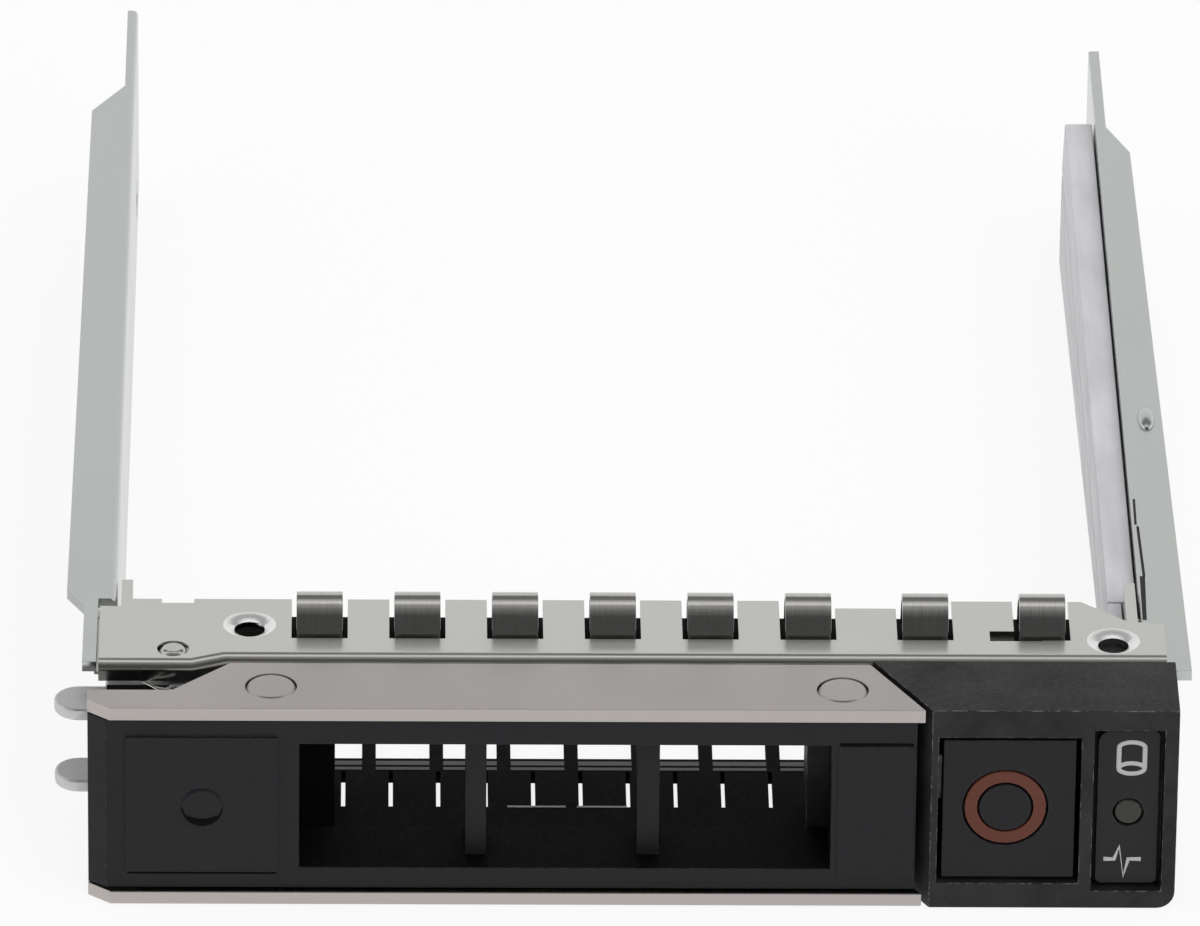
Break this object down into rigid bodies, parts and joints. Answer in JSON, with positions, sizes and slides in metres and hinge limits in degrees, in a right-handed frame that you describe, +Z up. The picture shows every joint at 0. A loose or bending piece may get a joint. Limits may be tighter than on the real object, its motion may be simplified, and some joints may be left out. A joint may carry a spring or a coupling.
{
  "type": "hot-swap drive tray",
  "caption": "Empty carrier tray for a 2.5-inch drive: sheet-steel rails and crossbar with curled contact fingers, black-cored swing lever, release button and indicator panel.",
  "frame": {"origin": "under the middle of the tray's outline, on the surface that it rests on", "axes": "+X to the right seen from the front, +Y from the lever to the back, +Z up"},
  "size_m": [0.081, 0.1116, 0.0181],
  "materials": {
    "plated_steel": "zinc-plated sheet steel, satin",
    "bright_steel": "bright plated spring steel",
    "lever_plate": "warm grey satin plated steel",
    "zinc": "die-cast zinc, satin grey",
    "black_plastic": "black moulded plastic with fine grain",
    "panel_plastic": "dark smoked panel, semi-gloss",
    "terracotta": "red-brown moulded plastic",
    "lens_plastic": "dark grey translucent lens",
    "clear_plastic": "clear moulded light pipe"
  },
  "bodies": {
    "frame": {"left_rail": "plated_steel", "right_rail": "plated_steel", "crossbar": "plated_steel", "base_plate": "black_plastic", "finger_strip": "bright_steel", "rail_rivet_left_upper": "plated_steel", "rail_rivet_left_lower": "plated_steel", "rail_rivet_right_upper": "plated_steel", "rail_rivet_right_lower": "plated_steel", "hinge_pin": "bright_steel", "lever_spring": "bright_steel", "front_housing": "black_plastic", "indicator_panel": "panel_plastic", "indicator_lens": "lens_plastic", "light_pipe_lower": "clear_plastic", "light_pipe_upper": "clear_plastic", "button_spring": "bright_steel"},
    "lever": {"cam_bracket": "zinc", "lever_bottom_plate": "lever_plate", "lever_top_plate": "lever_plate", "lever_core": "black_plastic", "lever_rivet_left": "lever_plate", "lever_rivet_right": "lever_plate"},
    "button": {"release_button": "black_plastic", "button_ring": "terracotta"},
    "catch": {"lever_catch": "zinc"}
  },
  "joints": [
    {"name": "lever_swing", "type": "hinge", "parent": "frame", "child": "lever", "pos_m": [-0.03206, -0.04695, 0.008], "axis": [0, 0, -1], "range_deg": [0, 40]},
    {"name": "button_press", "type": "slide", "parent": "frame", "child": "button", "axis": [0, 1, 0], "range_m": [0, 0.0015], "stiffness_N_per_m": 600, "deforming": ["button_spring"]},
    {"name": "catch_slide", "type": "slide", "parent": "frame", "child": "catch", "axis": [1, 0, 0], "range_m": [0, 0.00092]}
  ],
  "couplings": [
    {"joint": "catch_slide", "follows": "button_press", "ratio": 0.6}
  ]
}
